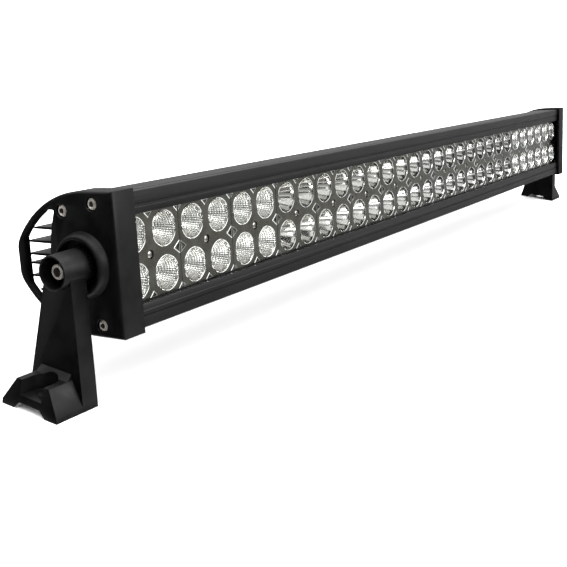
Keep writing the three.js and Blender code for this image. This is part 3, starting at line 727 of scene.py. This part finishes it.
def towards_middle(points, distance):
    """The same triangle with each side moved in by that distance."""
    a, b, c = (Vector(p) for p in points)
    la, lb, lc = (b - c).length, (c - a).length, (a - b).length
    around = la + lb + lc
    middle = (a * la + b * lb + c * lc) / around
    area = abs((b - a).cross(c - a)) / 2
    keep = 1 - distance / (2 * area / around)
    return [middle + (p - middle) * keep for p in (a, b, c)]


def half_diamonds():
    s, e, t = DIAMOND_HALF, HALF_WIDE - 0.25, HALF_TALL - 0.3
    low = t - 3.6
    found = []
    for side in (-1, 1):
        found.append([(side * e, s), (side * (e - DIAMOND_REACH), 0), (side * e, -s)])
        found.append([(-3.6, side * t), (0, side * low), (3.6, side * t)])
        for edge in (-1, 1):
            found.append([(edge * e, side * low), (edge * (e - 3.4), side * t), (edge * e, side * t)])
    return found


print(len(half_diamonds()), "half diamonds and corners on each moulding")

# %% [markdown]
# A cup starts at a low lip round its mouth, runs down its bowl to an open base, where the LED looks in,
# and comes back up outside, so that it has a real thickness. The deeper rows are taller than the first.
# A bowl pressed into the plate with a texture would look flat as soon as the view moves.

# %% One cup
def cup(bm, cx, cz, flood):
    """Adds a cup, and gives back its outermost loops in the plate's front and back."""
    foot_ring = ring(bm, cx, cz, PLATE_FRONT, RIM + LIP)
    crest = ring(bm, cx, cz, PLATE_FRONT - 0.2, RIM + LIP * 0.5)
    last = ring(bm, cx, cz, PLATE_FRONT, RIM)
    strip(bm, foot_ring, crest)
    strip(bm, crest, last)
    rows = 11 if flood else 10
    for row in range(1, rows + 1):
        depth = CUP_DEPTH * (row / rows) ** 1.15
        now = ring(bm, cx, cz, PLATE_FRONT + depth, bowl_radius(depth), 0 if flood or row == rows else FACETS)
        if flood:
            pillow_strip(bm, last, now, cx, cz, 0.17 * bowl_radius(depth) / RIM + 0.02)
        else:
            strip(bm, last, now)
        last = now
    outside = ring(bm, cx, cz, CUP_BACK, BASE + WALL)
    strip(bm, last, outside, PLATE)
    shoulder_ring = ring(bm, cx, cz, BACK_FACE, RIM + WALL)
    for share in (0.35, 0.7):
        depth = CUP_DEPTH * (1 - share)
        now = ring(bm, cx, cz, PLATE_FRONT + depth, bowl_radius(depth) + WALL)
        strip(bm, outside, now, PLATE)
        outside = now
    strip(bm, outside, shoulder_ring, PLATE)
    return foot_ring, shoulder_ring


def screw_hole(bm):
    """Adds the stepped hole in the moulding's middle, and gives back its first and last loops."""
    angles = [2 * math.pi * i / 24 for i in range(24)]
    steps = ((PLATE_FRONT, 2.7), (PLATE_FRONT + 1.8, 2.7), (PLATE_FRONT + 1.8, 1.6), (CUP_BACK, 1.6),
             (CUP_BACK, 3.2), (BACK_FACE, 3.4))
    loops = [[bm.verts.new((radius * math.cos(a), y, radius * math.sin(a))) for a in angles]
             for y, radius in steps]
    for a, b in zip(loops, loops[1:]):
        strip(bm, a, b, PLATE, smooth=False)
    return loops[0], loops[-1]


def diamond(bm, triangle):
    """Adds a framed half diamond, and gives back its loop in the plate's front."""
    crest_y = PLATE_FRONT - FRAME_CREST
    rows = [(triangle, PLATE_FRONT), (towards_middle(triangle, FRAME_IN * 0.4), crest_y),
            (towards_middle(triangle, FRAME_IN), crest_y),
            (towards_middle(triangle, FRAME_IN + FLOOR_IN), PLATE_FRONT + FLOOR_SUNK)]
    made = [[bm.verts.new((p[0], y, p[1])) for p in points] for points, y in rows]
    # The inner slope and the sunk floor take the dull plate finish: painted shade in the diamond's hollow.
    for a, b, finish in zip(made, made[1:], (FILM, FILM, PLATE)):
        strip(bm, a, b, finish, smooth=False)
    bm.faces.new(made[-1]).material_index = PLATE
    return made[0]


print("a cup's wall is", WALL, "mm thick")

# %% [markdown]
# A moulding is a thin plate with four cups, a screw hole and its diamonds. Their loops are holes in the
# plate's front and back, and Blender fills what is left between them with triangles.

# %% One moulding
def moulding(name, flood):
    bm = bmesh.new()
    plate_loop = rounded([(-HALF_WIDE, -HALF_TALL), (HALF_WIDE, -HALF_TALL),
                          (HALF_WIDE, HALF_TALL), (-HALF_WIDE, HALF_TALL)], 0.8, 2)
    fronts = [[bm.verts.new((x, PLATE_FRONT, z)) for x, z in plate_loop]]
    backs = [[bm.verts.new((x, BACK_FACE, z)) for x, z in plate_loop]]
    strip(bm, fronts[0], backs[0], PLATE)
    half = PITCH / 2
    holes = [cup(bm, cx, cz, flood) for cx, cz in ((-half, -half), (half, -half), (half, half), (-half, half))]
    holes.append(screw_hole(bm))
    fronts += [front for front, back in holes] + [diamond(bm, triangle) for triangle in half_diamonds()]
    backs += [back for front, back in holes]
    for loops in (fronts, backs):
        everything = [v for loop in loops for v in loop]
        for tri in tessellate_polygon([[Vector((v.co.x, v.co.z, 0)) for v in loop] for loop in loops]):
            bm.faces.new([everything[i] for i in tri]).material_index = PLATE
    bmesh.ops.transform(bm, matrix=Matrix.Scale(MM, 4), verts=bm.verts)
    mesh = finished_mesh(name, bm)
    mesh.materials.append(films["flood" if flood else "spot"])
    mesh.materials.append(plate_film)
    mesh.set_sharp_from_angle(angle=math.radians(14))
    return mesh


flood_moulding = moulding("flood_moulding", True)
spot_moulding = moulding("spot_moulding", False)
print(len(flood_moulding.polygons), "and", len(spot_moulding.polygons), "faces in a flood and a spot moulding")

# %% [markdown]
# Shared meshes are set in place by moving their objects, and each object stands for its own moulding.

# %% Fifteen mouldings
MODULES, FLOOD_AT_EACH_END = 15, 3


def module_x(index):
    return (index - (MODULES - 1) / 2) * MODULE


def repeated(mesh, name, x, y, z, stands_for):
    piece = bpy.data.objects.new(name, mesh)
    bpy.context.scene.collection.objects.link(piece)
    piece.matrix_world = LEVEL @ Matrix.Translation((x * MM, y * MM, z * MM))
    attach(piece, "light_bar")
    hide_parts(*stands_for)


for index in range(MODULES):
    number = f"{index + 1:02d}"
    is_flood = min(index, MODULES - 1 - index) < FLOOD_AT_EACH_END
    kind = flood_moulding if is_flood else spot_moulding
    repeated(kind, "moulding_" + number, module_x(index), 0, 0, ["reflector_module_" + number])
print(MODULES, "mouldings")

# %% [markdown]
# ## Screws and bolts
# Every visible fastener is turned with its own crown, because a dark recess in a bright head is how
# the eye knows a screw. The round socket of a cap screw or bolt is part of its profile. The small screws
# of the mouldings get a cross, which no turning makes, so two thin blocks are cut out of the head.

# %% Module screws
def in_metres(piece, finish):
    piece.data.transform(Matrix.Scale(MM, 4))
    piece.data.materials.clear()
    piece.data.materials.append(finish)
    piece.data.shade_smooth()
    piece.data.set_sharp_from_angle(angle=math.radians(30))
    mesh = piece.data
    bpy.data.objects.remove(piece)
    return mesh


SCREW_SEAT, CROSS_TURN = PLATE_FRONT + 1.5, 0.6
screw_profile = [(SCREW_SEAT - 1.3, 0), (SCREW_SEAT - 1.28, 0.9), (SCREW_SEAT - 1.05, 1.6), (SCREW_SEAT - 0.6, 2.1),
                 (SCREW_SEAT, 2.25), (SCREW_SEAT, 1.1), (7.2, 1.1), (7.2, 0)]
screw = loose(turned("module_screw", screw_profile, 28, "Y"))
for quarter in (0, math.pi / 2):
    place = Matrix.Translation((0, SCREW_SEAT - 1.4, 0)) @ Matrix.Rotation(quarter + CROSS_TURN, 4, "Y")
    block = bmesh.new()
    bmesh.ops.create_cube(block, size=1, matrix=place @ Matrix.Diagonal((2.4, 1.6, 0.5, 1)))
    combined(screw, finished_mesh("cross", block), "DIFFERENCE")
module_screw = in_metres(screw, bright_steel)
for index in range(MODULES):
    number = f"{index + 1:02d}"
    repeated(module_screw, "module_screw_" + number, module_x(index), 0, 0,
             ["reflector_screw_" + number])


print(MODULES, "module screws")

# %% [markdown]
# The cap screws and the pivot bolts are drawn for the right end and turned over for the left one.
# The faces deep inside a socket get the second finish: a dark one, painted shade for the socket's hollow.

# %% Cap screws, pivot bolts and washers
def on_its_side(shape, side, name, node, finishes):
    if side == "left":
        shape.transform(FLIP)
        shape.flip_normals()
    return placed(loose(shape), name, BAR, finishes, "light_bar", [node], smooth=30)


def with_dark_socket(shape, centre, radius, deepest, side, name, node):
    """Places a fastener, with painted socket shade on the faces nearer its axis than radius and further out than
    deepest.
    """
    y, z = centre
    inside = [f.index for f in shape.polygons
              if f.center.x > deepest and math.hypot(f.center.y - y, f.center.z - z) < radius]
    # The second finish is painted shade inside the socket.
    piece = on_its_side(shape, side, name, node, [zinc, painted_socket_shade])
    for index in inside:
        piece.data.polygons[index].material_index = 1


CAP_SEAT = 398
button_profile = [(CAP_SEAT - 15, 0), (CAP_SEAT - 15, 1.6), (CAP_SEAT, 1.6), (CAP_SEAT, 3.3), (CAP_SEAT + 0.6, 3.35),
                  (CAP_SEAT + 1.2, 3.0), (CAP_SEAT + 1.65, 2.3), (CAP_SEAT + 1.8, 1.75), (CAP_SEAT + 1.6, 1.55),
                  (CAP_SEAT + 0.6, 1.5), (CAP_SEAT + 0.45, 0)]
for side in ("left", "right"):
    for number, (y, z) in enumerate(CAP_SCREWS, 1):
        shape = turned("cap_screw", button_profile, 24, "X", (0, y, z))
        with_dark_socket(shape, (y, z), 1.57, CAP_SEAT + 0.3, side,
                         f"{side}_cap_fixing_{number}", f"{side}_cap_screw_{number}")

bolt_profile = [(393, 0), (393, 2.3), (393.5, 2.5), (414.6, 2.5), (414.6, 4.1), (414.8, 4.25), (419, 4.25),
                (419.4, 4.05), (419.6, 3.6), (419.6, 2.6), (419.3, 2.45), (417, 2.4), (416.6, 0)]
washer_profile = [(413.3, 2.8), (413.3, 4.8), (413.5, 5), (414.1, 5), (414.3, 4.8), (414.3, 2.8), (413.3, 2.8)]
for side in ("left", "right"):
    bolt = turned("bolt", bolt_profile, 36)
    with_dark_socket(bolt, (0, 0), 2.58, 416, side, side + "_hub_bolt", side + "_pivot_bolt")
    welded = bmesh.new()
    welded.from_mesh(turned("washer", washer_profile, 40))
    bmesh.ops.remove_doubles(welded, verts=welded.verts, dist=1e-5)
    washer = finished_mesh("washer", welded)
    on_its_side(washer, side, side + "_hub_washer", side + "_pivot_washer", [zinc])
print(2 * len(CAP_SCREWS), "cap screws, two bolts and two washers")

# %% [markdown]
# ## Everything that keeps its engineering shape
# The cover, the seals and the boards are already right: flat sheets and plain blocks. They keep
# their solids and get their own finish, and the cover and the nylon parts a small bevel too.

# %% Finishes for the plain pieces
PLAIN = {"lens": (clear_cover, 0.3), "driver_board": (laminate, 0)}
PLAIN.update({name: (seal_rubber, 0) for name in ("lens_seal", "left_cap_gasket", "right_cap_gasket")})
PLAIN.update({"led_board_" + part: (solder_mask, 0) for part in ("left", "centre", "right")})
PLAIN.update({name: (nylon, 0.3) for name in ("cable_gland", "cable_gland_nut", "breather_vent")})
for name, (finish, bevel) in PLAIN.items():
    node = frame["nodes"][name]
    node.data.materials.clear()
    node.data.materials.append(finish)
    if bevel:
        ease = node.modifiers.new("ease", "BEVEL")
        ease.limit_method = "ANGLE"
        ease.angle_limit = math.radians(40)
        ease.width = bevel * MM
        ease.segments = 2
print(len(PLAIN), "plain pieces finished")

# %% [markdown]
# ## The studio
# A plain white floor, a white surround and two soft boxes. The bar is black and its cups are mirrors,
# so what one really sees on them is what stands round them. The shiny parts don't see the floor:
# the room that they reflect, further down, already has its own light from below.

# %% Floor
bm = bmesh.new()
FLOOR_RADIUS = 6
bmesh.ops.create_circle(bm, cap_ends=True, segments=96, radius=FLOOR_RADIUS)
floor = loose(finished_mesh("floor", bm))
floor_paint, shader = new_finish("floor_paint", (0.9, 0.9, 0.9), 0, 0.9)
grain = add_grain(floor_paint, shader, 30, 0.05)
vary(floor_paint, shader, "Roughness", grain, 0.85, 0.95)
floor.data.materials.append(floor_paint)
floor.visible_glossy = False
print("the floor is", 2 * FLOOR_RADIUS, "m across")

# %% [markdown]
# A surround that is white all round would leave the mirrors blank and the black coat grey. So there are
# three: shiny parts see a room of light and dark bands, dull parts are lit by a plain dome,
# and the camera sees a white wall. A real studio does the same with black and white cards.

# %% Surround
world = bpy.data.worlds.new("room")
bpy.context.scene.world = world
world.use_nodes = True
tree = world.node_tree
tree.nodes.clear()


def world_node(kind, **settings):
    node = tree.nodes.new(kind)
    for key, value in settings.items():
        setattr(node, key, value)
    return node


def backdrop(strength=1):
    node = tree.nodes.new("ShaderNodeBackground")
    node.inputs["Color"].default_value = (1, 1, 1, 1)
    node.inputs["Strength"].default_value = strength
    return node


white_wall, fill, room = backdrop(1.05), backdrop(), backdrop(2.1)

# What the shiny parts see, from straight down to straight up: light, a dark band, middle grey at the
# height of the bar, a second dark band, and light overhead. To the left it all falls off to dark.
aim = world_node("ShaderNodeTexCoord")
tones = [((0, 0, 1), ((0.0, 0.9), (0.24, 0.8), (0.31, 0.01), (0.36, 0.01), (0.44, 0.27), (0.6, 0.27),
                      (0.66, 0.02), (0.72, 0.6), (0.8, 1.0))),
         ((-1, 0, 0), ((0.0, 1.0), (0.6, 0.95), (0.78, 0.12), (1.0, 0.02)))]
reach = None
for direction, stops in tones:
    along = world_node("ShaderNodeVectorMath", operation="DOT_PRODUCT")
    along.inputs[1].default_value = direction
    tree.links.new(aim.outputs["Generated"], along.inputs[0])
    half = world_node("ShaderNodeMath", operation="MULTIPLY_ADD")
    half.inputs[1].default_value = half.inputs[2].default_value = 0.5
    tree.links.new(along.outputs["Value"], half.inputs[0])
    ramp = world_node("ShaderNodeValToRGB")
    ramp.color_ramp.interpolation = "EASE"
    while len(ramp.color_ramp.elements) < len(stops):
        ramp.color_ramp.elements.new(0.5)
    for element, (at, value) in zip(ramp.color_ramp.elements, stops):
        element.position = at
        element.color = (value, value, value, 1)
    tree.links.new(half.outputs["Value"], ramp.inputs["Fac"])
    if reach is None:
        reach = ramp.outputs["Color"]
    else:
        both = world_node("ShaderNodeVectorMath", operation="MULTIPLY")
        tree.links.new(reach, both.inputs[0])
        tree.links.new(ramp.outputs["Color"], both.inputs[1])
        reach = both.outputs["Vector"]
tree.links.new(reach, room.inputs["Color"])

# What lights the dull parts: a dome, brightest overhead and a little to the front and right.
along = world_node("ShaderNodeVectorMath", operation="DOT_PRODUCT")
along.inputs[1].default_value = (0.25, -0.25, 1)
tree.links.new(aim.outputs["Generated"], along.inputs[0])
dome = world_node("ShaderNodeMapRange")
dome.inputs["From Min"].default_value = -0.1
dome.inputs["From Max"].default_value = 1.0
dome.inputs["To Min"].default_value = 0.02
dome.inputs["To Max"].default_value = 4.4
tree.links.new(along.outputs["Value"], dome.inputs["Value"])
tree.links.new(dome.outputs["Result"], fill.inputs["Strength"])

rays = world_node("ShaderNodeLightPath")
shown = room.outputs["Background"]
for test, surround in (("Is Diffuse Ray", fill), ("Is Camera Ray", white_wall)):
    mix = world_node("ShaderNodeMixShader")
    tree.links.new(rays.outputs[test], mix.inputs["Fac"])
    tree.links.new(shown, mix.inputs[1])
    tree.links.new(surround.outputs["Background"], mix.inputs[2])
    shown = mix.outputs["Shader"]
tree.links.new(shown, world_node("ShaderNodeOutputWorld").inputs["Surface"])
print(len(tree.nodes), "nodes in the surround")

# %% [markdown]
# Two soft boxes give the dull parts their shape: a long one above the bar, and a weaker one in front
# of it. A lamp without size would draw hard shadows on the floor and sparks on every edge.

# %% Soft boxes
def soft_box(name, place, aim, width, height, power):
    data = bpy.data.lights.new(name, "AREA")
    data.shape = "RECTANGLE"
    data.size, data.size_y, data.energy = width, height, power
    lamp = bpy.data.objects.new(name, data)
    bpy.context.scene.collection.objects.link(lamp)
    lamp.location = place
    lamp.rotation_euler = (Vector(aim) - Vector(place)).to_track_quat("-Z", "Y").to_euler()


MIDDLE = (0, 0, 0.07)
soft_box("top_box", (0, -0.3, 1.8), MIDDLE, 2.6, 0.8, 30)
soft_box("front_box", (0.4, -1.9, 1.1), MIDDLE, 1.6, 0.6, 22)
bpy.context.scene.view_settings.view_transform = "Standard"
print(len(bpy.data.lights), "soft boxes")
